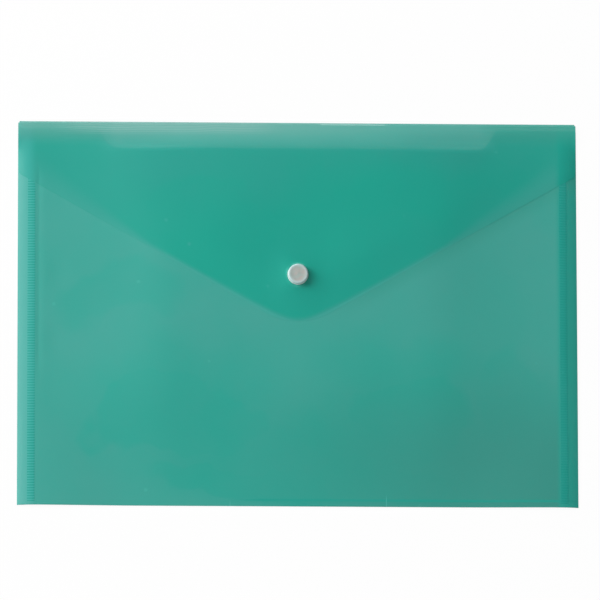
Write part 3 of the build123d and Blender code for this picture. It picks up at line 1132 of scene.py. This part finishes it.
# Painted light on the film: shade at the lower right, highlight and shade on the margins, a shadow beside
# the flap, a highlight on its cut edge and a sheen along the fold.
painted_corner_shade(pocket_finish, (0.038, 0.388, 0.318))
margin_highlight_and_shade(pocket_finish, (0.07, 0.485, 0.425), (0.012, 0.465, 0.375))
fold_marks(pocket_finish, (0.002, 0.45, 0.36), (0.08, 0.53, 0.46))
shadow_beside_flap(pocket_finish, (0.035, 0.42, 0.335))
softer_edge(flap_finish, (0.05, 0.505, 0.42), (0.1, 0.6, 0.52))
margin_highlight_and_shade(flap_finish, (0.034, 0.505, 0.43), (0.01, 0.51, 0.4))
mouth_tone_and_fold_sheen(flap_finish, (0.055, 0.515, 0.435), (0.19, 0.57, 0.5))
strain_lines(flap_finish, (0.36, 0.66, 0.61))
print("nodes in the pocket's finish:", len(pocket_finish.node_tree.nodes))

# %% [markdown]
# The welds are the same film, pressed glossier. The mouldings are a slightly warm white plastic that
# lets light in under its skin. After that every piece gets its finish.

# %% Welds, mouldings and who wears what
weld_finish = finish("welded_film", (0.01, 0.47, 0.385), (0.014, 0.48, 0.4), (0.05, 0.55, 0.47),
                     (0.3, 0.38), (30, 1800, 120), 0.55)
rib_top_highlights(weld_finish, (0.075, 0.57, 0.5))
white_finish = finish("white_moulding", (0.49, 0.47, 0.44), (0.43, 0.51, 0.48), (0.38, 0.38, 0.36),
                      (0.28, 0.36), (400, 6000, 700), 1.0)
rim_and_skirt_highlight(white_finish, (0.52, 0.655, 0.66), (0.86, 0.9, 0.88), (0.3, 0.78, 0.7))
feed(white_finish.node_tree.nodes["Principled BSDF"], {
    "Subsurface Weight": 0.6, "Subsurface Radius": (1, 1, 1), "Subsurface Scale": 1.5 * MM})
DRESS = (
    (pocket_finish, (pocket,)), (flap_finish, (flap, crease)), (weld_finish, (left_weld, right_weld)),
    (white_finish, (cap, socket, stud, rivet)),
)

for material, pieces in DRESS:
    for piece in pieces:
        piece.data.materials.append(material)
    print(material.name, "is on", [piece.name for piece in pieces])

# %% [markdown]
# ## Floor, light and camera
# The wallet was photographed on white. The floor is pale and takes shadows as any floor does, and
# Light Path makes it read as white where the camera, a reflection or a see-through film looks at it.

# %% Floor
FLOOR_SIZE = 60
WHITE_SHARE = 0.95

clear_choice()
bpy.ops.mesh.primitive_plane_add(size=FLOOR_SIZE, location=(0, 0, -0.1 * MM))
floor = bpy.context.object
floor.name = "studio_floor"
paper = bpy.data.materials.new("studio_white")
paper.use_nodes = True
tree = paper.node_tree
matt = feed(tree.nodes["Principled BSDF"],
            {"Base Color": (0.9, 0.9, 0.9, 1), "Roughness": 0.9, "Specular IOR Level": 0.0})
path = add_node(tree, "ShaderNodeLightPath").outputs
seen = math_node("MAXIMUM", path["Is Camera Ray"], path["Is Glossy Ray"])
seen = math_node("MAXIMUM", seen, path["Is Transmission Ray"])
glow = add_node(tree, "ShaderNodeEmission")
mixed = feed(add_node(tree, "ShaderNodeMixShader"), {
    "Fac": times(seen, WHITE_SHARE), 1: matt.outputs["BSDF"], 2: glow.outputs["Emission"]})
tree.links.new(mixed.outputs["Shader"], tree.nodes["Material Output"].inputs["Surface"])
floor.data.materials.append(paper)
print("floor is", FLOOR_SIZE, "m wide")

# %% [markdown]
# The room gives an even fill. The key is a soft box low on the left, and a weaker one higher up on the
# same side softens its shadows. One behind the top edge draws the pale sheen along the fold, and one low
# in front lights the side of the cap that faces the camera. The camera sees the room as white.

# %% World and lamps
ROOM_LIGHT = 0.26
LAMPS = (
    ("key_soft_box", (-2.4, 0.86, 1.3), 1.4, 68.7),
    ("overhead_soft_box", (-1.44, 0.61, 1.82), 1.12, 13.3),
    ("top_soft_box", (-0.96, 2.24, 1.28), 1.28, 16.6, (0, 0.1, 0)),
    ("front_fill", (-0.3, -2.5, 0.75), 1.28, 14.5),
)


def lamp(name, place, size, power, aim=(0, 0, 0)):
    """A square soft box at a place, turned to its aim."""
    data = bpy.data.lights.new(name, "AREA")
    data.shape = "SQUARE"
    data.size = size
    data.energy = power
    box = bpy.data.objects.new(name, data)
    bpy.context.collection.objects.link(box)
    box.location = place
    box.rotation_euler = (Vector(place) - Vector(aim)).to_track_quat("Z", "Y").to_euler()
    box.visible_camera = False
    print(name, "is at", place)


world = bpy.data.worlds.new("studio")
bpy.context.scene.world = world
world.use_nodes = True
tree = world.node_tree
room = feed(tree.nodes["Background"], {"Color": (1, 1, 1, 1), "Strength": ROOM_LIGHT})
white = feed(add_node(tree, "ShaderNodeBackground"), {"Color": (1, 1, 1, 1)})
path = add_node(tree, "ShaderNodeLightPath").outputs
mixed = feed(add_node(tree, "ShaderNodeMixShader"), {
    "Fac": path["Is Camera Ray"], 1: room.outputs["Background"], 2: white.outputs["Background"]})
tree.links.new(mixed.outputs["Shader"], tree.nodes["World Output"].inputs["Surface"])
for row in LAMPS:
    lamp(*row)

# %% [markdown]
# The photograph looks almost straight down, with the wallet turned a little in the frame. The long
# distance gives the same weak perspective, and the lens follows from the width that the frame shows.

# %% Camera
TILT = math.radians(12.67)
AZIMUTH = math.radians(-10.03)
ROLL = math.radians(10.15)
DISTANCE = 6.5
FRAME_WIDTH = 359.0 * MM
AIM = Vector((1.39 * MM, 7.94 * MM, 3 * MM))
data = bpy.data.cameras.new("camera")
data.sensor_width = 36
data.lens = data.sensor_width * DISTANCE / FRAME_WIDTH
data.clip_end = 100
camera = bpy.data.objects.new("camera", data)
bpy.context.collection.objects.link(camera)
turn = Matrix.Rotation(AZIMUTH, 4, "Z") @ Matrix.Rotation(TILT, 4, "X") @ Matrix.Rotation(ROLL, 4, "Z")
camera.matrix_world = Matrix.Translation(AIM) @ turn @ Matrix.Translation((0, 0, DISTANCE))
scene = bpy.context.scene
scene.camera = camera
scene.view_settings.view_transform = "Standard"
scene.cycles.transparent_max_bounces = 32
print("lens in mm:", round(data.lens, 1))

# %% [markdown]
# Last, the view layer is brought up to date.

# %% The end
bpy.context.view_layer.update()
